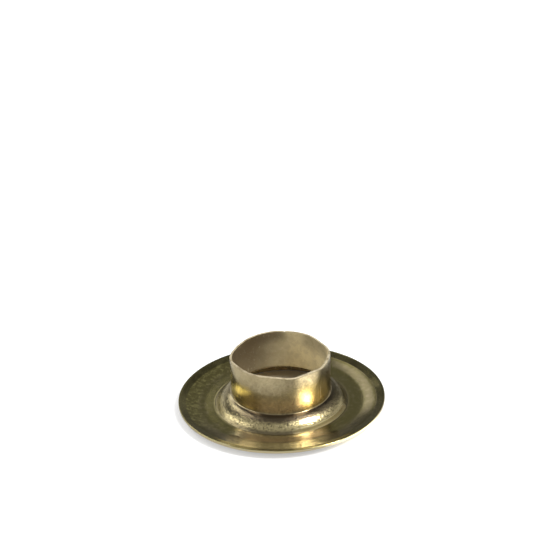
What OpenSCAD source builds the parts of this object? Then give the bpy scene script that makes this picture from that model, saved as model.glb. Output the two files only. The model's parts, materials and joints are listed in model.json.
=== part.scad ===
// Canvas eyelet, drawn from one brass sheet
// The barrel stands up along +Z, and the show face looks down.
// The crest of the face is the lowest part and carries the eyelet at z = 0.
// The sheet runs from the mouth down the barrel, round the throat to the seat, over the shoulder
// to its foot, across the crest and up the slope to the crease and the lip.
// All lengths are in millimetres and all angles in degrees.

/* [Flange] */
// Outside diameter of the flange
flange_d = 20.6; // [18.5:0.1:26]
// Thickness of the sheet in the flange
sheet_t = 0.28; // [0.2:0.01:0.34]
// Break of the two corners of the rim
rim_break = 0.05; // [0.02:0.01:0.08]

/* [Lip] */
// Width of the lip from the crease to the rim
lip_w = 0.75; // [0.4:0.05:1.5]
// Rise of the lip above level
lip_angle = 22; // [14:1:35]
// Inside radius of the bend at the crease
crease_r = 0.25; // [0.1:0.05:1]

/* [Crest] */
// Straight stretch of sheet between the foot of the shoulder and the crest
inner_w = 1; // [0.2:0.05:2]
// Fall of that stretch towards the crest
inner_angle = 1; // [0:0.5:4]
// Inside radius of the bend over the crest
crest_r = 2.2; // [0.5:0.1:6]
// Rise of the slope from the crest to the crease
slope_angle = 12; // [6:1:18]

/* [Shoulder] */
// Height of the back of the seat, measured at the middle of the barrel wall
seat_h = 1.66; // [1.46:0.02:2.2]
// Straight stretch of the seat between the throat and the shoulder
seat_w = 0.04; // [0:0.02:0.4]
// Fall of the seat away from the barrel
seat_angle = 20; // [10:1:26]
// Fall of the sheet between the shoulder and its foot
shoulder_angle = 56; // [50:1:60]
// Inside radius of the bend over the shoulder
shoulder_r = 2.2; // [0.6:0.1:2.5]
// Inside radius of the bend at the foot
foot_r = 0.25; // [0.1:0.05:0.6]

/* [Barrel] */
// Diameter of the bore
bore_d = 9.5; // [8:0.1:11]
// Height of the eyelet from the crest to the mouth of the barrel
overall_h = 5.55; // [4:0.05:9]
// Wall of the barrel, ironed thinner than the flange
barrel_t = 0.22; // [0.14:0.01:0.28]
// Inside radius of the bend at the throat, between the barrel and its seat
throat_r = 0.06; // [0.04:0.01:0.4]
// Length above the throat over which the wall thins
thinning_l = 0.8; // [0.3:0.05:1.6]
// Break of the outer corner at the mouth
mouth_break = 0.08; // [0.02:0.01:0.12]

/* [Hidden] */
$fn = 180;

brass = "#b59a5c";
arc_step = 6; // Degrees between the points of a bend

half_t = sheet_t / 2;
bore_r = bore_d / 2;
rim_r = flange_d / 2;

// Headings of the sheet on its legs, from the barrel out to the lip
headings = [-90, -seat_angle, -shoulder_angle, -inner_angle, slope_angle, lip_angle];

// Inside radius of the bend between each two legs
inside_radii = [throat_r, shoulder_r, foot_r, crest_r, crease_r];

function unit(angle) = [cos(angle), sin(angle)];

// Change of heading at a bend, positive where the sheet turns up
function turn(i) = headings[i] - headings[i - 1];

// Radius of the middle line at a bend
function bend_r(i) = inside_radii[i - 1] + half_t;

// Length of middle line that a bend takes from the leg on each side of it
function setback(i) = bend_r(i) * tan(abs(turn(i)) / 2);

// Middle line at the crest, set so that the face just touches z = 0
crest_lean = (slope_angle - inner_angle) / 2;
crest_z = half_t + bend_r(4) * (1 - cos(crest_lean) / cos(turn(4) / 2));
inner_leg = setback(3) + inner_w + setback(4);
foot_z = crest_z + inner_leg * sin(inner_angle);

// Corners of the middle line, one at each bend
throat = [bore_r + half_t, seat_h - half_t / cos(seat_angle)];
shoulder = throat + (setback(1) + seat_w + setback(2)) * unit(-seat_angle);
foot = [shoulder[0] + (shoulder[1] - foot_z) / tan(shoulder_angle), foot_z];
crest = foot + inner_leg * unit(-inner_angle);
crease = [rim_r - lip_w, crest_z + (rim_r - lip_w - crest[0]) * tan(slope_angle)];
corners = [throat, shoulder, foot, crest, crease];
bends = len(corners);

rim_z = crease[1] + lip_w * tan(lip_angle);
barrel_z = throat[1] + setback(1);

// Centre of the arc that the sheet follows at a bend
function bend_centre(i) =
    corners[i - 1] + setback(i) * unit(headings[i]) + sign(turn(i)) * bend_r(i) * unit(headings[i] + 90);

// Points of one surface through a bend, at a distance from the middle line
function bend_points(i, away) =
    let (steps = ceil(abs(turn(i)) / arc_step), reach = away - sign(turn(i)) * bend_r(i))
    [for (k = [0 : steps]) bend_centre(i) + reach * unit(headings[i - 1] + turn(i) * k / steps + 90)];

// Face of the sheet, from the bore out to the rim
face_side = [for (i = [1 : bends]) each bend_points(i, -half_t)];

// Back of the sheet, from the rim in to the barrel
back_side = [
    for (i = [bends : -1 : 1])
        let (points = bend_points(i, half_t))
        for (k = [len(points) - 1 : -1 : 0]) points[k]
];

// Points over the rim, which is cut upright with both corners broken
rim_half = half_t / cos(lip_angle);
rim_fall = rim_break * tan(lip_angle);
rim_end = [
    [rim_r - rim_break, rim_z - rim_half - rim_fall],
    [rim_r, rim_z - rim_half + rim_break],
    [rim_r, rim_z + rim_half - rim_break],
    [rim_r - rim_break, rim_z + rim_half - rim_fall],
];

// Points up the outside of the barrel and over its mouth
barrel_end = [
    [bore_r + barrel_t, barrel_z + thinning_l],
    [bore_r + barrel_t, overall_h - mouth_break],
    [bore_r + barrel_t - mouth_break, overall_h],
    [bore_r, overall_h],
];

section = concat(face_side, rim_end, back_side, barrel_end);

// Drawn shell: barrel, throat, seat, shoulder, crest, slope and lip
module eyelet() {
    color(brass) rotate_extrude() polygon(section);
}

eyelet();
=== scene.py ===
import json
import math

import bpy
import numpy as np
from mathutils import Matrix, Vector


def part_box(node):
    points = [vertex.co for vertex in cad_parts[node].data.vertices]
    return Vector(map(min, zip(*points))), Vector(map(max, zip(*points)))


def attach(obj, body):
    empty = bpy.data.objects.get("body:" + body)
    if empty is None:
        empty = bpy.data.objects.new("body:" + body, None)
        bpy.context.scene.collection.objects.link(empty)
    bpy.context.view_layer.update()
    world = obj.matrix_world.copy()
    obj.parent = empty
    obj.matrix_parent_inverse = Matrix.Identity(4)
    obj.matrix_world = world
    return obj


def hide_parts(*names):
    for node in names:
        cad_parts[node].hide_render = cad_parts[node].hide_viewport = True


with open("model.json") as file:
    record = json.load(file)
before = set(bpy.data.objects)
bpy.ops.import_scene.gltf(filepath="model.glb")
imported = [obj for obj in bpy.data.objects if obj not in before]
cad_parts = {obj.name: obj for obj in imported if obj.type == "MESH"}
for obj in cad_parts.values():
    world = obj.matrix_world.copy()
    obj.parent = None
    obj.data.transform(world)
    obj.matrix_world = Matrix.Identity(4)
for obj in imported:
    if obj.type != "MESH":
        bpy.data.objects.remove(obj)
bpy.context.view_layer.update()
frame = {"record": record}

mm = 0.001
micrometre = 1e-6
farOut = 99.0            # past every edge of the part, in millimetres
backSlot, faceSlot, edgeSlot = 0, 1, 2
print("frame loaded")

mounts = {m["name"]: m for m in frame["record"]["mounts"]}
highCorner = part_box("eyelet")[1]

# The drawn section, in millimetres and degrees. The bore, the rim and the height come from the frame.
eyelet = {
    "sheetT": 0.28,
    "barrelT": 0.22,
    "boreR": mounts["bore"]["dims"]["r_mm"],
    "rimR": highCorner.x / mm,
    "mouthZ": highCorner.z / mm,
    "seatH": 1.66,           # height of the seat at the barrel
    "seatW": 0.04,           # straight stretch of the seat
    "seatAngle": 20.0,
    "shoulderAngle": 56.0,
    "innerW": 1.00,          # straight stretch between the foot and the crest
    "innerAngle": 1.0,
    "slopeAngle": 12.0,
    "lipW": 0.75,
    "lipAngle": 22.0,
    "throatR": 0.06,         # inside radii of the bends
    "shoulderR": 2.20,
    "footR": 0.25,
    "crestR": 2.2,
    "creaseR": 0.25,
    "thinningL": 0.8,        # length above the throat over which the barrel thins
    "thinningR": 2.0,        # bend at the upper end of that length
    "mouthRound": 0.08,      # half as much on the bore's side
    "rimRound": 0.06,
    "arcStep": 4.0,          # degrees between the rows of a wide bend
    "arcGap": 0.025,         # length between the rows of a tight one
    "rowGap": 0.22,          # longest step along a straight leg
    "segments": 512,
    "rimCorner": 7,          # the outline's corner where the face ends
    "mouthCorners": (0, 14), # its corners at the cut edge of the mouth
}

# Wear of the trimmed mouth: every dip only cuts into the height
mouthWear = {
    # Out of round: azimuths in degrees, and how far the mouth is pushed out there in millimetres
    "pressed": ((0, 0.02), (20, -0.2), (36, -0.18), (52, -0.12), (78, -0.08), (96, 0.0), (120, -0.13),
                (142, -0.22), (164, -0.22), (182, 0.0), (194, 0.02), (210, -0.18), (228, -0.1), (238, -0.1),
                (252, -0.18), (262, -0.13), (274, 0.0), (286, 0.05), (299, 0.03), (308, 0.0), (321, 0.1),
                (335, 0.0), (348, -0.08)),
    "pressedReach": 2.1,     # length below the mouth over which it comes back to round
    "pressedFade": 1.5,      # power of that return
    "softening": 24,         # passes that round off the corners of the pressed form
    # Nicks: azimuth, half width in degrees, depth
    "nicks": ((83.5, 1.1, 0.09), (284.0, 9.0, 0.12), (321.0, 8.0, 0.09), (30.0, 12.0, 0.12),
              (150.0, 14.0, 0.06)),
    "burrFrom": 252.0,       # azimuths between which the edge is ragged
    "burrTo": 304.0,
    "burrFade": 6.0,         # degrees over which the ragged stretch begins and ends
    "burrDepth": 0.045,
    "burrGain": 2.0,         # contrast of the ragged edge, and how much of it stays whole
    "burrWhole": 0.9,
    "tremble": 0.008,        # fine unevenness all round
    "dipReach": 0.9,         # length below the mouth over which a dip fades
    "dipFade": 2.0,
    "seed": 11,
}


def unit(angle):
    return np.array([math.cos(math.radians(angle)), math.sin(math.radians(angle))])


# Direction from the eyelet, by azimuth and elevation in degrees
def toward(azimuth, elevation):
    a, e = math.radians(azimuth), math.radians(elevation)
    return Vector((math.cos(a) * math.cos(e), math.sin(a) * math.cos(e), math.sin(e)))


# Middle line of the sheet from the mouth to the rim: corners, heading of each leg, radius of each bend
def middleLine(e):
    halfT = e["sheetT"] / 2
    headings = [-90.0, -e["seatAngle"], -e["shoulderAngle"], -e["innerAngle"], e["slopeAngle"], e["lipAngle"]]
    radii = [e[k] + halfT for k in ("throatR", "shoulderR", "footR", "crestR", "creaseR")]
    turns = [b - a for a, b in zip(headings, headings[1:])]
    setbacks = [r * math.tan(math.radians(abs(t)) / 2) for r, t in zip(radii, turns)]
    lean = math.radians(e["slopeAngle"] - e["innerAngle"]) / 2
    crestZ = halfT + radii[3] * (1 - math.cos(lean) / math.cos(math.radians(turns[3]) / 2))
    innerLeg = setbacks[2] + e["innerW"] + setbacks[3]
    footZ = crestZ + innerLeg * math.sin(math.radians(e["innerAngle"]))
    throat = np.array([e["boreR"] + halfT, e["seatH"] - halfT / math.cos(math.radians(e["seatAngle"]))])
    shoulder = throat + (setbacks[0] + e["seatW"] + setbacks[1]) * unit(headings[1])
    footX = shoulder[0] + (shoulder[1] - footZ) / math.tan(math.radians(e["shoulderAngle"]))
    crestX = footX + innerLeg * math.cos(math.radians(e["innerAngle"]))
    creaseX = e["rimR"] - e["lipW"]
    creaseZ = crestZ + (creaseX - crestX) * math.tan(math.radians(e["slopeAngle"]))
    rimZ = creaseZ + e["lipW"] * math.tan(math.radians(e["lipAngle"]))
    corners = [(throat[0], e["mouthZ"]), throat, shoulder, (footX, footZ),
               (crestX, crestZ), (creaseX, creaseZ), (e["rimR"], rimZ)]
    return [np.array(c) for c in corners], headings, radii


# One corner of a surface that lies away from the middle line, and the radius it turns with
def surfaceCorner(corners, headings, radii, i, away):
    turn = headings[i] - headings[i - 1]
    mean = (headings[i] + headings[i - 1]) / 2
    point = corners[i] + away / math.cos(math.radians(turn) / 2) * unit(mean + 90)
    return point, radii[i - 1] - math.copysign(away, turn * away)


# Closed outline of the section: its corners, each with its own radius
def sectionCorners(e):
    corners, headings, radii = middleLine(e)
    bends = range(1, len(radii) + 1)
    halfT = e["sheetT"] / 2
    rimHalf = halfT / math.cos(math.radians(e["lipAngle"]))
    rimX, rimZ = corners[-1]
    outline = [(np.array([e["boreR"], e["mouthZ"]]), e["mouthRound"] / 2)]
    outline += [surfaceCorner(corners, headings, radii, i, -halfT) for i in bends]
    outline.append((np.array([rimX, rimZ - rimHalf]), e["rimRound"]))
    outline.append((np.array([rimX, rimZ + rimHalf]), e["rimRound"]))
    outline += [surfaceCorner(corners, headings, radii, i, halfT) for i in reversed(bends)]
    throatSetback = radii[0] * math.tan(math.radians(abs(headings[1] - headings[0])) / 2)
    barrelZ = corners[1][1] + throatSetback
    outline.append((np.array([e["boreR"] + e["barrelT"], barrelZ + e["thinningL"]]), e["thinningR"]))
    outline.append((np.array([e["boreR"] + e["barrelT"], e["mouthZ"]]), e["mouthRound"]))
    return outline


# Points round one corner, between its two neighbours
def roundCorner(before, corner, after, radius, step, gap):
    inward = (before - corner) / np.linalg.norm(before - corner)
    outward = (after - corner) / np.linalg.norm(after - corner)
    opening = math.acos(max(-1.0, min(1.0, float(inward @ outward))))
    reach = radius / math.tan(opening / 2)
    middle = (inward + outward) / np.linalg.norm(inward + outward)
    centre = corner + middle * radius / math.sin(opening / 2)
    start, end = corner + inward * reach - centre, corner + outward * reach - centre
    first = math.atan2(start[1], start[0])
    sweep = (math.atan2(end[1], end[0]) - first + math.pi) % (2 * math.pi) - math.pi
    steps = min(math.ceil(math.degrees(abs(sweep)) / step), math.ceil(abs(sweep) * radius / gap))
    steps = max(2, steps)
    angles = [first + sweep * k / steps for k in range(steps + 1)]
    return [centre + radius * np.array([math.cos(a), math.sin(a)]) for a in angles]


# Points of the section, and the material slot of the row of faces that each one starts
def sectionPoints(e):
    outline = sectionCorners(e)
    count = len(outline)
    arcs = []
    for i, (corner, radius) in enumerate(outline):
        before, after = outline[i - 1][0], outline[(i + 1) % count][0]
        arcs.append(roundCorner(before, corner, after, radius, e["arcStep"], e["arcGap"]))
    points, slots = [], []
    for i, arc in enumerate(arcs):
        start, end = arc[-1], arcs[(i + 1) % count][0]
        rows = math.ceil(np.linalg.norm(end - start) / e["rowGap"])
        leg = [start + (end - start) * k / rows for k in range(1, rows)]
        side = faceSlot if i < e["rimCorner"] else backSlot
        slots += [edgeSlot if i in e["mouthCorners"] else side] * (len(arc) - 1)
        slots += [edgeSlot if i == e["mouthCorners"][-1] else side] * (len(leg) + 1)
        points += arc + leg
    return np.array(points), np.array(slots)


# Mean of each value and its two neighbours, all the way round
def softened(values):
    return (np.roll(values, 1) + values + np.roll(values, -1)) / 3


# Depth of the worn edge at each azimuth, and how far the barrel is out of round there
def mouthForm(wear, degrees):
    ragged = softened(np.random.default_rng(wear["seed"]).random(len(degrees)))
    start, end, fade = wear["burrFrom"], wear["burrTo"], wear["burrFade"]
    burrs = np.interp(degrees, (start - fade, start, end, end + fade), (0, 1, 1, 0))
    teeth = np.clip(ragged * wear["burrGain"] - wear["burrWhole"], 0, 1)
    dip = wear["tremble"] * ragged + wear["burrDepth"] * burrs * teeth
    for azimuth, halfWidth, depth in wear["nicks"]:
        apart = (degrees - azimuth + 180) % 360 - 180
        dip = dip + depth * np.exp(-(apart / halfWidth) ** 2)
    azimuths, pushes = zip(*wear["pressed"])
    out = np.interp(degrees, azimuths, pushes, period=360)
    for turns in range(wear["softening"]):
        out = softened(out)
    return dip, out


# Sheet metal turned round the bore axis, as one closed mesh
def makeEyelet(e, wear):
    section, slots = sectionPoints(e)
    rows, segments = len(section), e["segments"]
    degrees = np.arange(segments) * 360 / segments
    radius, height = section[:, 0][:, None], section[:, 1][:, None]
    dip, out = mouthForm(wear, degrees)
    depth = height - e["mouthZ"]
    nearMouth = np.clip((depth + wear["dipReach"]) / wear["dipReach"], 0, 1) ** wear["dipFade"]
    upBarrel = np.clip((depth + wear["pressedReach"]) / wear["pressedReach"], 0, 1) ** wear["pressedFade"]
    height = height - dip * nearMouth
    radius = radius + out * upBarrel
    angles = np.radians(degrees)
    verts = np.stack([radius * np.cos(angles), radius * np.sin(angles), height], axis=-1).reshape(-1, 3) * mm
    i, j = np.meshgrid(np.arange(rows), np.arange(segments), indexing="ij")
    row, nextRow = i * segments, (i + 1) % rows * segments
    nextJ = (j + 1) % segments
    faces = np.stack([row + j, row + nextJ, nextRow + nextJ, nextRow + j], axis=-1).reshape(-1, 4)
    mesh = bpy.data.meshes.new("eyeletShell")
    mesh.from_pydata(verts.tolist(), [], faces.tolist())
    mesh.update()
    mesh.polygons.foreach_set("use_smooth", [True] * len(mesh.polygons))
    mesh.polygons.foreach_set("material_index", np.repeat(slots, segments))
    piece = bpy.data.objects.new("eyeletShell", mesh)
    bpy.context.scene.collection.objects.link(piece)
    print("eyelet:", rows, "rows,", len(mesh.polygons), "faces")
    return piece


# Shader nodes: inputs are given by name or number, as a value or as a socket to link
def addNode(tree, kind, inputs=None, **settings):
    node = tree.nodes.new("ShaderNode" + kind)
    for name, value in settings.items():
        setattr(node, name, value)
    for socket, value in (inputs or {}).items():
        if isinstance(value, bpy.types.NodeSocket):
            tree.links.new(value, node.inputs[socket])
        else:
            node.inputs[socket].default_value = value
    return node


def calc(tree, operation, *values, clamp=False):
    return addNode(tree, "Math", dict(enumerate(values)), operation=operation, use_clamp=clamp).outputs[0]


def vectorCalc(tree, operation, *vectors):
    outputs = addNode(tree, "VectorMath", dict(enumerate(vectors)), operation=operation).outputs
    return outputs["Value" if operation in ("LENGTH", "DISTANCE", "DOT_PRODUCT") else "Vector"]


def multiply(tree, value, *others):
    for other in others:
        value = calc(tree, "MULTIPLY", value, other)
    return value


def add(tree, value, *others):
    for other in others:
        value = calc(tree, "ADD", value, other)
    return value


# What is left of 1 where a share of the mask is taken away
def without(tree, mask, share=1.0):
    return calc(tree, "SUBTRACT", 1.0, multiply(tree, mask, share))


def blendColor(tree, mask, first, second):
    return addNode(tree, "Mix", {0: mask, 6: first, 7: second}, data_type="RGBA").outputs[2]


# A color with another laid over it, where all the masks and shares say so
def layOver(tree, color, over, *masks):
    return blendColor(tree, multiply(tree, *masks), color, over)


def remap(tree, value, fromLow, fromHigh, toLow=0.0, toHigh=1.0):
    inputs = {0: value, 1: fromLow, 2: fromHigh, 3: toLow, 4: toHigh}
    return addNode(tree, "MapRange", inputs, interpolation_type="SMOOTHSTEP").outputs[0]


# The three numbers of a vector, and the same vector without its height
def flatten(tree, vector):
    split = addNode(tree, "SeparateXYZ", {0: vector}).outputs
    return split, addNode(tree, "CombineXYZ", {0: split[0], 1: split[1]}).outputs[0]


def objectPlace(tree):
    return addNode(tree, "TexCoord").outputs["Object"]


# Noise with its scale in grains a metre, and its detail, roughness and distortion by name
def addNoise(tree, vector, scale, shape):
    return addNode(tree, "TexNoise", {"Vector": vector, "Scale": scale, **shape}).outputs[0]


# A new shader group with number inputs and number outputs
def newGroup(name, inputs, outputs):
    group = bpy.data.node_groups.new(name, "ShaderNodeTree")
    for socket, value in inputs.items():
        item = group.interface.new_socket(name=socket, in_out="INPUT", socket_type="NodeSocketFloat")
        item.default_value = value
    for socket in outputs:
        group.interface.new_socket(name=socket, in_out="OUTPUT", socket_type="NodeSocketFloat")
    return group, group.nodes.new("NodeGroupInput").outputs, group.nodes.new("NodeGroupOutput").inputs


def useGroup(tree, group, **values):
    return addNode(tree, "Group", values, node_tree=group).outputs


# Forms of the noises, and the values of each between which a mask fades
textures = {
    "pits": {"Detail": 2.5, "Roughness": 0.6},
    "swell": {"Detail": 1.0},
    "swellScale": 0.35,      # scale of the peel's wide swells, against its grain
    "speckStart": 0.78,      # where specks begin when none are asked for
    "speckShare": 0.3,       # how far Specks lowers that
    "speckSoft": 0.12,
    "pitRange": (0.34, 0.48),
    "radial": {"Detail": 3.0, "Roughness": 0.65},
    "radialRange": (0.52, 0.72),
    "draw": {"Detail": 2.0, "Roughness": 0.6},
    "cloud": {"Detail": 5.0, "Roughness": 0.62, "Distortion": 0.6},
    "cloudStart": 0.75,      # where tarnish begins when no cover is asked for
    "cloudShare": 0.5,       # how far Cover lowers that
    "cloudSoft": 0.12,
}


# Place on the sheet: distance from the bore axis and height, in millimetres
def makeSheetPlace():
    group, _, put = newGroup("sheetPlace", {}, ("Radius", "Height"))
    split, flat = flatten(group, objectPlace(group))
    group.links.new(multiply(group, vectorCalc(group, "LENGTH", flat), 1 / mm), put["Radius"])
    group.links.new(multiply(group, split[2], 1 / mm), put["Height"])
    return group


# Soft-edged band: 1 between Low and High
def makeBand():
    group, given, put = newGroup("band", {"Value": 0.0, "Low": 0.0, "High": 1.0, "Soft": 0.1}, ("Mask",))
    value, low, high, soft = (given[k] for k in ("Value", "Low", "High", "Soft"))
    rise = remap(group, value, calc(group, "SUBTRACT", low, soft), add(group, low, soft))
    fall = remap(group, value, calc(group, "SUBTRACT", high, soft), add(group, high, soft), 1.0, 0.0)
    group.links.new(multiply(group, rise, fall), put["Mask"])
    return group


# Orange peel of stretched sheet: its relief, the brightest specks, and the darkest pits between them
def makeOrangePeel(look):
    group, given, put = newGroup("orangePeel", {"Grain": 0.16, "Specks": 0.5, "Swell": 0.3},
                                 ("Height", "Mask", "Pits"))
    place = objectPlace(group)
    scale = calc(group, "DIVIDE", 1 / mm, given["Grain"])
    pits = addNoise(group, place, scale, look["pits"])
    wide = addNoise(group, place, multiply(group, scale, look["swellScale"]), look["swell"])
    group.links.new(add(group, pits, multiply(group, wide, given["Swell"])), put["Height"])
    start = calc(group, "SUBTRACT", look["speckStart"], multiply(group, given["Specks"], look["speckShare"]))
    group.links.new(remap(group, pits, start, add(group, start, look["speckSoft"])), put["Mask"])
    group.links.new(remap(group, pits, *look["pitRange"], 1.0, 0.0), put["Pits"])
    return group


# Fine lines that run out from the bore across the flange, left by the drawing die
def makeRadialLines(look):
    group, given, put = newGroup("radialLines", {"Round": 60.0, "Out": 0.5}, ("Height", "Mask"))
    flat = flatten(group, objectPlace(group))[1]
    around = vectorCalc(group, "NORMALIZE", flat)
    around = addNode(group, "VectorMath", {0: around, 3: given["Round"]}, operation="SCALE").outputs[0]
    length = multiply(group, vectorCalc(group, "LENGTH", flat), given["Out"], 1 / mm)
    out = addNode(group, "CombineXYZ", {2: length}).outputs[0]
    lines = addNoise(group, vectorCalc(group, "ADD", around, out), 1.0, look["radial"])
    group.links.new(lines, put["Height"])
    group.links.new(remap(group, lines, *look["radialRange"]), put["Mask"])
    return group


# Faint lines that run up the barrel, left by the drawing punch
def makeDrawLines(look):
    group, given, put = newGroup("drawLines", {"Round": 5.0, "Up": 0.35}, ("Height",))
    split = flatten(group, objectPlace(group))[0]
    scales = (given["Round"], given["Round"], given["Up"])
    parts = {i: multiply(group, split[i], scale, 1 / mm) for i, scale in enumerate(scales)}
    vector = addNode(group, "CombineXYZ", parts).outputs[0]
    group.links.new(addNoise(group, vector, 1.0, look["draw"]), put["Height"])
    return group


# Cloudy tarnish
def makeTarnish(look):
    group, given, put = newGroup("tarnish", {"Size": 2.0, "Cover": 0.5}, ("Mask",))
    scale = calc(group, "DIVIDE", 1 / mm, given["Size"])
    cloud = addNoise(group, objectPlace(group), scale, look["cloud"])
    middle = calc(group, "SUBTRACT", look["cloudStart"], multiply(group, given["Cover"], look["cloudShare"]))
    start, end = calc(group, "SUBTRACT", middle, look["cloudSoft"]), add(group, middle, look["cloudSoft"])
    group.links.new(remap(group, cloud, start, end), put["Mask"])
    return group


# Share of a surface that faces one way round the axis, by the cosine of the angle between the two
def makeOneSide():
    group, given, put = newGroup("oneSide", {"East": 1.0, "North": 0.0, "From": 0.0, "To": 1.0}, ("Mask",))
    around = vectorCalc(group, "NORMALIZE", flatten(group, objectPlace(group))[1])
    side = addNode(group, "CombineXYZ", {0: given["East"], 1: given["North"]}).outputs[0]
    cosine = vectorCalc(group, "DOT_PRODUCT", around, side)
    group.links.new(remap(group, cosine, given["From"], given["To"]), put["Mask"])
    return group


def bandMask(tree, groups, value, low, high, soft):
    return useGroup(tree, groups["band"], Value=value, Low=low, High=high, Soft=soft)["Mask"]


# Distances from the axis that the zones of the finish are counted from
def landmarks(e):
    foot = middleLine(e)[0][3]           # fourth corner from the mouth
    return {"axis": 0.0, "bore": e["boreR"], "throat": e["boreR"] + e["sheetT"],
            "foot": foot[0], "crease": e["rimR"] - e["lipW"], "outside": farOut}


# A zone is a landmark where it starts and how far past it, the same for its end, and its softness
def zoneMask(tree, groups, radius, marks, zone):
    start, startPast, end, endPast, soft = zone
    return bandMask(tree, groups, radius, marks[start] + startPast, marks[end] + endPast, soft)


# A sector is its azimuth, and the cosines from there at which its mask begins and is full
def sectorMask(tree, groups, sector):
    azimuth, start, full = sector
    east, north = unit(azimuth)
    return useGroup(tree, groups["oneSide"], East=east, North=north, From=start, To=full)["Mask"]


def newMaterial(name):
    material = bpy.data.materials.new(name)
    material.use_nodes = True
    tree = material.node_tree
    tree.nodes.clear()
    shader = addNode(tree, "BsdfPrincipled")
    addNode(tree, "OutputMaterial", {0: shader.outputs[0]})
    return material, tree, shader


# Relief in micrometres, as the shader's normal
def linkRelief(tree, shader, relief):
    bump = addNode(tree, "Bump", {"Height": relief, "Distance": micrometre, "Strength": 1.0})
    tree.links.new(bump.outputs[0], shader.inputs["Normal"])


# Back of the sheet, from the mouth down the barrel and out to the rim. All lengths are in millimetres.
brassBack = {
    "brass": (0.61, 0.512, 0.30, 1.0),
    "olive": (0.355, 0.31, 0.11, 1.0),      # tarnish on the flange
    "greenGold": (0.68, 0.61, 0.25, 1.0),   # outer slope on the left
    "clean": (0.96, 0.885, 0.70, 1.0),      # painted highlight: paler metal at the front of the flange, toward the camera
    "umber": (0.43, 0.335, 0.18, 1.0),      # tarnish on the barrel
    "warm": (0.60, 0.435, 0.225, 1.0),      # painted reflection: golden tint of the barrel above the seat, on its front side, for the light the flange throws up
    "lipOlive": (0.40, 0.352, 0.155, 1.0),
    "speck": (0.88, 0.765, 0.47, 1.0),      # bright grains of the shoulder
    "pit": (0.16, 0.13, 0.06, 1.0),         # and dark ones
    "grime": (0.10, 0.077, 0.048, 1.0),     # painted shade in the corner under the barrel
    # Sectors: azimuth, and the cosines where they begin and are full
    "greenSector": (166.0, 0.52, 0.88),
    "cleanSector": (-92.0, 0.74, 0.90),
    "grimeSector": (-85.0, 0.1, 0.95),
    "footSector": (-48.0, 0.80, 0.93),      # where the foot is rough and painted darker, over a lamp's reflection
    # Zones by the distance from the axis: a landmark and how far past it, the same for the end, and softness
    "zones": {
        "barrel": ("axis", 0.0, "bore", 0.45, 0.1),
        "shoulder": ("bore", 0.6, "foot", 0.1, 0.25),
        "footGrime": ("foot", -0.10, "foot", 0.20, 0.1),
        "footDull": ("foot", -0.14, "foot", 0.14, 0.08),
        "slope": ("foot", 0.2, "crease", 0.0, 0.3),
        "flange": ("foot", 0.25, "outside", 0.0, 0.15),
        "rubbed": ("foot", 1.75, "crease", -0.3, 0.3),     # cleaner metal on the slope
        "outer": ("foot", 1.75, "outside", 0.0, 0.3),
        "lip": ("crease", 0.02, "outside", 0.0, 0.08),
    },
    "cornerZone": ("throat", 0.12, "throat", 1.00, 0.22),
    "cornerRagged": 0.25,    # how far the grain moves the edge of the painted shade
    "barrelUp": (0.1, 0.15), # height above the seat where the barrel begins, and its softness
    "warmUp": (0.4, 2.4),    # heights above the seat where the painted golden reflection is full and gone
    # Textures
    "peel": {"Grain": 0.19, "Specks": 0.55},
    "lines": {"Round": 70.0, "Out": 0.7},
    "draw": {"Round": 4.5, "Up": 0.3},
    "clouds": {"Size": 3.0, "Cover": 0.75},
    "mottle": {"Size": 0.5, "Cover": 0.6},
    "film": {"Size": 1.1, "Cover": 0.55},
    # Shares of the tarnish
    "cloudShare": 0.25,
    "mottleShare": 0.5,
    "rubbedShare": 0.45,     # taken from the clouds and the mottle where the slope is rubbed
    "dullShare": 0.4,        # even tarnish where it isn't
    "cleanCloud": 0.25,      # how far the clouds take back the painted highlight
    "umberShare": 0.35,      # of the film on the barrel
    "lipShares": (0.5, 0.25, 0.4),          # even, by the film, by the mottle
    "shoulderOlive": 0.35,
    "pitShare": 0.85,
    "cornerShares": (0.28, 0.71),           # all round, and more in its sector
    "footGrime": 0.75,       # painted shade along the foot, in the same sector
    # share of the painted shade over the foot's reflection
    "footDark": 0.85,
    # Roughness
    "flangeRough": 0.125,
    "barrelRough": 0.19,
    "shoulderRough": 0.19,
    "lipRough": 0.13,
    "footRough": 0.5,
    "filmRough": 0.05,       # added by the film, and by the lines
    "lineRough": 0.04,
    # Relief, in micrometres
    "peelHeight": 26.0,
    "slopePeel": 0.05,       # shares of it away from the shoulder
    "lipPeel": 0.08,
    "lineHeight": 0.9,
    "drawHeight": 0.5,
    "hollow": 15.0,          # slight hollow of the outer slope, so that reflections end softly
    "hollowAt": 0.78,        # inward from the crease
    "hollowHalf": 0.7,       # half of its width
}


# Masks of the parts of the back
def backMasks(tree, look, e, groups, peel):
    place = useGroup(tree, groups["sheetPlace"])
    radius, height = place["Radius"], place["Height"]
    marks, seatH = landmarks(e), e["seatH"]
    masks = {name: zoneMask(tree, groups, radius, marks, zone) for name, zone in look["zones"].items()}
    start, soft = look["barrelUp"]
    above = bandMask(tree, groups, height, seatH + start, farOut, soft)
    masks["barrel"] = multiply(tree, masks["barrel"], above)
    # The painted golden reflection is full low on the barrel and fades upward
    full, gone = look["warmUp"]
    masks["warm"] = remap(tree, height, seatH + full, seatH + gone, 1.0, 0.0)
    masks["footDull"] = multiply(tree, masks["footDull"], sectorMask(tree, groups, look["footSector"]))
    ragged = add(tree, radius, multiply(tree, peel["Height"], look["cornerRagged"]))
    masks["corner"] = zoneMask(tree, groups, ragged, marks, look["cornerZone"])
    aside = calc(tree, "SUBTRACT", radius, marks["crease"] - look["hollowAt"])
    aside = calc(tree, "ABSOLUTE", calc(tree, "DIVIDE", aside, look["hollowHalf"]))
    aside = calc(tree, "MINIMUM", aside, 1.0)
    masks["hollow"] = multiply(tree, aside, aside)
    return masks
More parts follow.
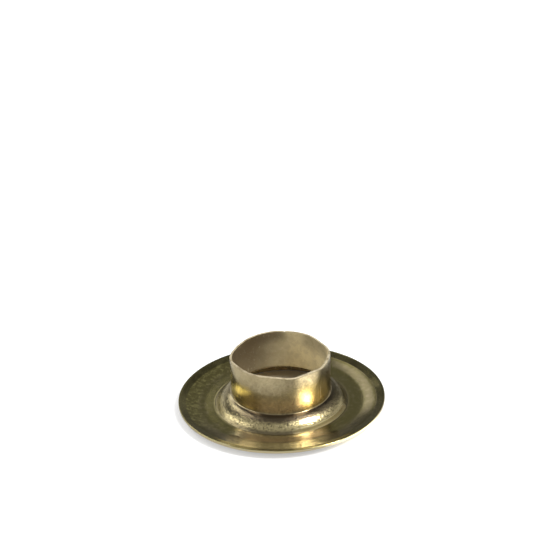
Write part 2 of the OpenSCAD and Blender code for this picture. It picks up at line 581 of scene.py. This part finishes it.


# Color of the back: tarnish and the painted highlight of the flange first, then the barrel with its painted
# reflection, the lip, the shoulder and the painted shade
def backColor(tree, look, groups, masks, peel, tarnish):
    barrel, shoulder, rubbed = (masks[k] for k in ("barrel", "shoulder", "rubbed"))
    clouds, mottle, film = (tarnish[k] for k in ("clouds", "mottle", "film"))
    patchy = multiply(tree, clouds, look["cloudShare"])
    patchy = add(tree, patchy, multiply(tree, mottle, look["mottleShare"]))
    patchy = multiply(tree, patchy, without(tree, rubbed, look["rubbedShare"]))
    even = multiply(tree, without(tree, rubbed), look["dullShare"])
    dull = calc(tree, "ADD", patchy, even, clamp=True)
    color = layOver(tree, look["brass"], look["olive"], masks["slope"], dull)

    green = blendColor(tree, mottle, look["greenGold"], look["olive"])
    color = layOver(tree, color, green, sectorMask(tree, groups, look["greenSector"]), masks["outer"])
    # Painted highlight: paler metal on the front of the flange, on the side toward the camera
    front = multiply(tree, sectorMask(tree, groups, look["cleanSector"]), masks["flange"])
    color = layOver(tree, color, look["clean"], front, without(tree, clouds, look["cleanCloud"]))

    # Side toward the camera, where the painted reflection and the painted shade are strongest
    paintedSide = sectorMask(tree, groups, look["grimeSector"])
    color = layOver(tree, color, look["umber"], barrel, film, look["umberShare"])
    # Painted reflection: a golden tint low on the front of the barrel, where the flange throws light up onto
    # it
    color = layOver(tree, color, look["warm"], barrel, masks["warm"], paintedSide)

    evenShare, filmShare, mottleShare = look["lipShares"]
    lipDull = add(tree, multiply(tree, film, filmShare), multiply(tree, mottle, mottleShare))
    lipDull = calc(tree, "ADD", evenShare, lipDull, clamp=True)
    color = layOver(tree, color, look["lipOlive"], masks["lip"], lipDull)

    color = layOver(tree, color, look["olive"], shoulder, look["shoulderOlive"])
    color = layOver(tree, color, look["speck"], shoulder, peel["Mask"])
    color = layOver(tree, color, look["pit"], shoulder, peel["Pits"], look["pitShare"])

    # Painted shade in the corner under the barrel and along the foot, most on the front side
    allRound, inSector = look["cornerShares"]
    corner = multiply(tree, masks["corner"], add(tree, allRound, multiply(tree, paintedSide, inSector)))
    atFoot = multiply(tree, masks["footGrime"], paintedSide, look["footGrime"])
    color = layOver(tree, color, look["grime"], calc(tree, "MAXIMUM", corner, atFoot))
    # Painted shade over the lamp's reflection on the foot, in the colour of the pits
    return layOver(tree, color, look["pit"], masks["footDull"], look["footDark"])


def makeBrassBack(look, e, groups):
    material, tree, shader = newMaterial("brassBack")
    peel = useGroup(tree, groups["orangePeel"], **look["peel"])
    lines = useGroup(tree, groups["radialLines"], **look["lines"])
    draw = useGroup(tree, groups["drawLines"], **look["draw"])
    tarnish = {k: useGroup(tree, groups["tarnish"], **look[k])["Mask"] for k in ("clouds", "mottle", "film")}
    masks = backMasks(tree, look, e, groups, peel)
    barrel, shoulder, slope, lip = (masks[k] for k in ("barrel", "shoulder", "slope", "lip"))
    tree.links.new(backColor(tree, look, groups, masks, peel, tarnish), shader.inputs["Base Color"])

    rough = add(tree, multiply(tree, tarnish["film"], look["filmRough"]), look["flangeRough"],
                multiply(tree, lines["Mask"], look["lineRough"]))
    for mask, name in ((barrel, "barrelRough"), (shoulder, "shoulderRough"), (lip, "lipRough"),
                       (masks["footDull"], "footRough")):
        rough = add(tree, rough, multiply(tree, mask, look[name] - look["flangeRough"]))
    tree.links.new(rough, shader.inputs["Roughness"])
    shader.inputs["Metallic"].default_value = 1.0

    peelShare = add(tree, shoulder, multiply(tree, slope, look["slopePeel"]),
                    multiply(tree, lip, look["lipPeel"]))
    relief = add(tree, multiply(tree, peel["Height"], peelShare, look["peelHeight"]),
                 multiply(tree, lines["Height"], add(tree, slope, lip), look["lineHeight"]),
                 multiply(tree, draw["Height"], barrel, look["drawHeight"]),
                 multiply(tree, masks["hollow"], look["hollow"]))
    linkRelief(tree, shader, relief)
    return material


# Face of the sheet, from the mouth down the bore and out over the crest
brassFace = {
    "brass": (0.60, 0.51, 0.31, 1.0),
    "bright": (0.97, 0.85, 0.53, 1.0),     # clean metal of the bore
    "umber": (0.42, 0.33, 0.19, 1.0),
    "stain": (0.10, 0.072, 0.038, 1.0),    # old tarnish in the bore, and painted shade on its left side
    # Azimuth, cosine where it ends, share, millimetres below the mouth where it begins and is full
    "stains": ((152, -0.1, 0.98, 18.0, 0.6), (112, 0.80, 0.75, 1.7, 0.5), (34, 0.82, 0.5, 2.3, 0.7)),
    "stainFull": 0.97,       # cosine where a stain, or the painted shade, is full
    "speck": (0.68, 0.60, 0.44, 1.0),
    "speckShare": 0.4,
    "zones": {
        "bore": ("axis", 0.0, "bore", 0.16, 0.1),
        "crest": ("bore", 1.3, "outside", 0.0, 0.5),
    },
    "peel": {"Grain": 0.16, "Specks": 0.5},
    "lines": {"Round": 75.0, "Out": 0.5},
    "draw": {"Round": 5.0, "Up": 0.5},
    "film": {"Size": 0.7, "Cover": 0.5},
    "umberShare": 0.28,      # of the film on the bore's wall
    "boreDull": 0.85,        # share of the bore's wall that a dull film covers
    "filmShine": 0.12,       # how much that film reflects
    "throatRough": 0.24,
    "boreRough": 0.62,
    "crestRough": 0.30,
    "lineRough": 0.05,       # added by the lines
    "peelHeight": 4.0,       # micrometres
    "lineHeight": 3.0,
    "drawHeight": 2.5,
}


def makeBrassFace(look, e, groups):
    material, tree, shader = newMaterial("brassFace")
    place = useGroup(tree, groups["sheetPlace"])
    radius, height = place["Radius"], place["Height"]
    bore, crest = (zoneMask(tree, groups, radius, landmarks(e), look["zones"][k]) for k in ("bore", "crest"))
    worn = add(tree, crest, bore)
    peel = useGroup(tree, groups["orangePeel"], **look["peel"])
    lines = useGroup(tree, groups["radialLines"], **look["lines"])
    draw = useGroup(tree, groups["drawLines"], **look["draw"])
    film = useGroup(tree, groups["tarnish"], **look["film"])["Mask"]

    color = layOver(tree, look["brass"], look["bright"], bore)
    color = layOver(tree, color, look["umber"], bore, film, look["umberShare"])
    # The first is painted shade down the left of the bore, the others are tarnish near the mouth
    for azimuth, edge, share, low, high in look["stains"]:
        side = sectorMask(tree, groups, (azimuth, edge, look["stainFull"]))
        fade = remap(tree, height, e["mouthZ"] - low, e["mouthZ"] - high, 0.0, share)
        color = layOver(tree, color, look["stain"], bore, side, fade)
    color = layOver(tree, color, look["speck"], worn, peel["Mask"], look["speckShare"])
    tree.links.new(color, shader.inputs["Base Color"])

    rough = add(tree, multiply(tree, lines["Mask"], look["lineRough"]), look["throatRough"])
    for mask, name in ((bore, "boreRough"), (crest, "crestRough")):
        rough = add(tree, rough, multiply(tree, mask, look[name] - look["throatRough"]))
    tree.links.new(rough, shader.inputs["Roughness"])
    tree.links.new(without(tree, bore, look["boreDull"]), shader.inputs["Metallic"])
    shader.inputs["Specular IOR Level"].default_value = look["filmShine"]

    relief = add(tree, multiply(tree, peel["Height"], worn, look["peelHeight"]),
                 multiply(tree, lines["Height"], crest, look["lineHeight"]),
                 multiply(tree, draw["Height"], bore, look["drawHeight"]))
    linkRelief(tree, shader, relief)
    return material


# Cut edge of the mouth, rubbed pale
cutEdge = {
    "brass": (0.66, 0.59, 0.43, 1.0),
    "dull": (0.42, 0.35, 0.22, 1.0),
    "film": {"Size": 0.9, "Cover": 0.4},
    "lines": {"Round": 160.0, "Out": 0.1},
    "rough": 0.85,
    "lineRough": 0.1,        # added by the lines
    "scratchHeight": 3.0,    # micrometres
}


def makeBrassEdge(look, groups):
    material, tree, shader = newMaterial("brassEdge")
    film = useGroup(tree, groups["tarnish"], **look["film"])["Mask"]
    lines = useGroup(tree, groups["radialLines"], **look["lines"])
    tree.links.new(layOver(tree, look["brass"], look["dull"], film), shader.inputs["Base Color"])
    rough = add(tree, multiply(tree, lines["Mask"], look["lineRough"]), look["rough"])
    tree.links.new(rough, shader.inputs["Roughness"])
    shader.inputs["Metallic"].default_value = 1.0
    linkRelief(tree, shader, multiply(tree, lines["Height"], look["scratchHeight"]))
    return material


# Floor: a pale sheet. Its places are in millimetres from the axis.
floorLook = {
    "size": 2.0,             # metres
    "color": (0.5, 0.5, 0.495, 1.0),
    "roughness": 0.6,
    "shine": 0.05,
    "glow": 0.68,            # added where the camera sees the floor
    "glowFrom": 6.0,         # it begins here, so that the shadow stays
    "glowTo": 12.0,
    "mirrorGlow": 0.04,      # added where a reflection sees the floor
    "boreGlow": 0.15,        # share of it that is left under the part
    "shade": (0.52, 0.455, 0.345, 1.0),     # painted shade: brownish floor colour under the part
    "shadeFrom": 5.0,
    "shadeTo": 10.5,
    # Glowing patches, painted light seen only in reflections: place, radius, glow
    "cards": ((9.6, -8.2, 6.5, 2.7), (-3.6, 0.6, 3.6, 0.8)),
    "cardCore": 0.3,         # share of a patch's radius that glows in full
}


def makeFloor(look):
    mesh = bpy.data.meshes.new("floor")
    half = look["size"] / 2
    corners = [(-half, -half, 0), (half, -half, 0), (half, half, 0), (-half, half, 0)]
    mesh.from_pydata(corners, [], [(0, 1, 2, 3)])
    floor = bpy.data.objects.new("floor", mesh)
    bpy.context.scene.collection.objects.link(floor)
    material, tree, shader = newMaterial("floorPale")
    shader.inputs["Roughness"].default_value = look["roughness"]
    shader.inputs["Specular IOR Level"].default_value = look["shine"]
    shader.inputs["Emission Color"].default_value = (1.0, 1.0, 1.0, 1.0)
    place = objectPlace(tree)
    away = vectorCalc(tree, "LENGTH", place)
    inOpen = remap(tree, away, look["shadeFrom"] * mm, look["shadeTo"] * mm)
    tree.links.new(layOver(tree, look["shade"], look["color"], inOpen), shader.inputs["Base Color"])

    path = addNode(tree, "LightPath").outputs
    mirrored = multiply(tree, calc(tree, "MAXIMUM", inOpen, look["boreGlow"]), look["mirrorGlow"])
    for x, y, radius, glow in look["cards"]:
        apart = vectorCalc(tree, "DISTANCE", place, (x * mm, y * mm, 0.0))
        core = radius * look["cardCore"]
        mirrored = add(tree, mirrored, remap(tree, apart, core * mm, radius * mm, glow, 0.0))
    inMirror = calc(tree, "MAXIMUM", path["Is Glossy Ray"], path["Is Transmission Ray"])
    seen = remap(tree, away, look["glowFrom"] * mm, look["glowTo"] * mm, 0.0, look["glow"])
    seen = multiply(tree, path["Is Camera Ray"], seen)
    strength = calc(tree, "MAXIMUM", seen, multiply(tree, inMirror, mirrored))
    tree.links.new(strength, shader.inputs["Emission Strength"])

    # From below the floor is clear, so that the face can be looked at
    fromBelow = addNode(tree, "NewGeometry").outputs["Backfacing"]
    clear = addNode(tree, "BsdfTransparent").outputs[0]
    sides = addNode(tree, "MixShader", {0: fromBelow, 1: shader.outputs[0], 2: clear}).outputs[0]
    tree.links.new(sides, tree.nodes["Material Output"].inputs[0])
    mesh.materials.append(material)


# Studio: each lamp is a sheet of light that faces the eyelet. All its angles are in degrees, seen from there.
lamps = {
    "keyLamp": {"azimuth": -26, "elevation": 55, "roll": 60, "width": 23, "height": 23, "radiance": 5.0},
    "keyCore": {"azimuth": -22, "elevation": 54, "roll": 0, "width": 10, "height": 12, "radiance": 58.0},
    "keyTop": {"azimuth": 0, "elevation": 68, "roll": 0, "width": 20, "height": 13, "radiance": 5.4},
    "keySide": {"azimuth": 6, "elevation": 43, "roll": 0, "width": 20, "height": 16, "radiance": 1.1},
    "keyTail": {"azimuth": 28, "elevation": 43, "roll": 0, "width": 28, "height": 32, "radiance": 0.5},
    "leftLamp": {"azimuth": 179, "elevation": 23, "roll": 26, "width": 46, "height": 7, "radiance": 3.2},
    "leftHigh": {"azimuth": 150, "elevation": 51, "roll": 46, "width": 36, "height": 13, "radiance": 4.0},
    "leftLow": {"azimuth": 123, "elevation": 32, "roll": 30, "width": 16, "height": 9, "radiance": 1.5},
    "stripLamp": {"azimuth": 101.6, "elevation": 39.5, "roll": -16, "width": 4.6, "height": 34,
                  "radiance": 0.66},
    "rearLamp": {"azimuth": 82, "elevation": 35, "roll": 0, "width": 22, "height": 34, "radiance": 0.125},
}
lampDistance = 1.0           # metres


def makeLamp(name, lamp):
    away = toward(lamp["azimuth"], lamp["elevation"])
    width, height = (2 * lampDistance * math.tan(math.radians(lamp[k]) / 2) for k in ("width", "height"))
    data = bpy.data.lights.new(name, "AREA")
    data.shape = "RECTANGLE"
    data.size, data.size_y = width, height
    data.energy = lamp["radiance"] * math.pi * width * height
    light = bpy.data.objects.new(name, data)
    facing = away.to_track_quat("Z", "Y").to_matrix() @ Matrix.Rotation(math.radians(lamp["roll"]), 3, "Z")
    light.matrix_world = Matrix.Translation(away * lampDistance) @ facing.to_4x4()
    light.visible_camera = False
    bpy.context.scene.collection.objects.link(light)


# Room: a pale horizon under a darker upper part
roomLook = {
    "horizon": 0.75,
    "fadeFrom": 0.18,        # sine of the elevation where the horizon starts to fade
    "fadeTo": 0.40,
    "upper": 0.07,           # above the horizon, behind the part
    "front": 0.48,           # and in front of it
    "frontFrom": -0.35,      # share of a direction toward the front, where that light begins
    "frontTo": 0.05,
    "darkAzimuth": 76.0,     # side of the room that stays dark
    "darkFrom": 0.80,        # cosine of the angle from it where the horizon starts to fade
    "darkTo": 0.90,
    "darkSide": 0.12,
}


def makeRoom(look):
    world = bpy.data.worlds.new("room")
    world.use_nodes = True
    tree = world.node_tree
    tree.nodes.clear()
    split, flat = flatten(tree, addNode(tree, "TexCoord").outputs["Generated"])
    dark = toward(look["darkAzimuth"], 0.0)
    facing = vectorCalc(tree, "DOT_PRODUCT", vectorCalc(tree, "NORMALIZE", flat), dark)
    horizon = remap(tree, facing, look["darkFrom"], look["darkTo"], look["horizon"], look["darkSide"])
    upper = remap(tree, multiply(tree, split[1], -1.0), look["frontFrom"], look["frontTo"],
                  look["upper"], look["front"])
    rise = remap(tree, split[2], look["fadeFrom"], look["fadeTo"])
    strength = addNode(tree, "Mix", {0: rise, 2: horizon, 3: upper}, data_type="FLOAT").outputs[0]
    background = addNode(tree, "Background", {"Color": (1.0, 1.0, 1.0, 1.0), "Strength": strength})
    addNode(tree, "OutputWorld", {0: background.outputs[0]})
    bpy.context.scene.world = world


# Camera: the rim's centre lies at a pixel of the photograph's frame
view = {
    "distance": 12.0,        # in flange radii
    "elevation": 30.48,
    "roll": -2.24,
    "rimPixel": (281.4, 395.4),
    "focalPixels": 1229.4,
    "frame": 550.0,
    "sensor": 36.0,          # millimetres
    "clip": (0.001, 10.0),   # metres
}


# Vectors turned together about an axis
def turned(angle, axis, *vectors):
    turn = Matrix.Rotation(angle, 3, axis)
    return [turn @ v for v in vectors]


def makeCamera(look, target, flangeR):
    back = toward(-90.0, look["elevation"])
    right = Vector((1.0, 0.0, 0.0))
    right, up = turned(math.radians(look["roll"]), back, right, back.cross(right))
    middle = look["frame"] / 2
    across = (look["rimPixel"][0] - middle) / look["focalPixels"]
    upward = (middle - look["rimPixel"][1]) / look["focalPixels"]
    pan = math.atan(across)
    tilt = math.atan(upward * math.cos(pan))
    right, axis = turned(pan, up, right, back)
    up, axis = turned(-tilt, right, up, axis)
    data = bpy.data.cameras.new("camera")
    data.sensor_width = look["sensor"]
    data.lens = look["focalPixels"] / look["frame"] * look["sensor"]
    data.clip_start, data.clip_end = look["clip"]
    camera = bpy.data.objects.new("camera", data)
    stand = Matrix.Translation(target + back * look["distance"] * flangeR)
    camera.matrix_world = stand @ Matrix((right, up, axis)).transposed().to_4x4()
    bpy.context.scene.collection.objects.link(camera)
    bpy.context.scene.camera = camera


groups = {
    "sheetPlace": makeSheetPlace(),
    "band": makeBand(),
    "orangePeel": makeOrangePeel(textures),
    "radialLines": makeRadialLines(textures),
    "drawLines": makeDrawLines(textures),
    "tarnish": makeTarnish(textures),
    "oneSide": makeOneSide(),
}
print("shader groups:", len(groups))

shell = makeEyelet(eyelet, mouthWear)
shell.data.materials.append(makeBrassBack(brassBack, eyelet, groups))
shell.data.materials.append(makeBrassFace(brassFace, eyelet, groups))
shell.data.materials.append(makeBrassEdge(cutEdge, groups))
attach(shell, "root")
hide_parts("eyelet")
print("eyelet finished")

makeFloor(floorLook)
makeRoom(roomLook)
for name, lamp in lamps.items():
    makeLamp(name, lamp)
rimZ = middleLine(eyelet)[0][-1][1] * mm
makeCamera(view, Vector((0, 0, rimZ)), eyelet["rimR"] * mm)
bpy.context.scene.view_settings.view_transform = "Standard"
print("studio ready")
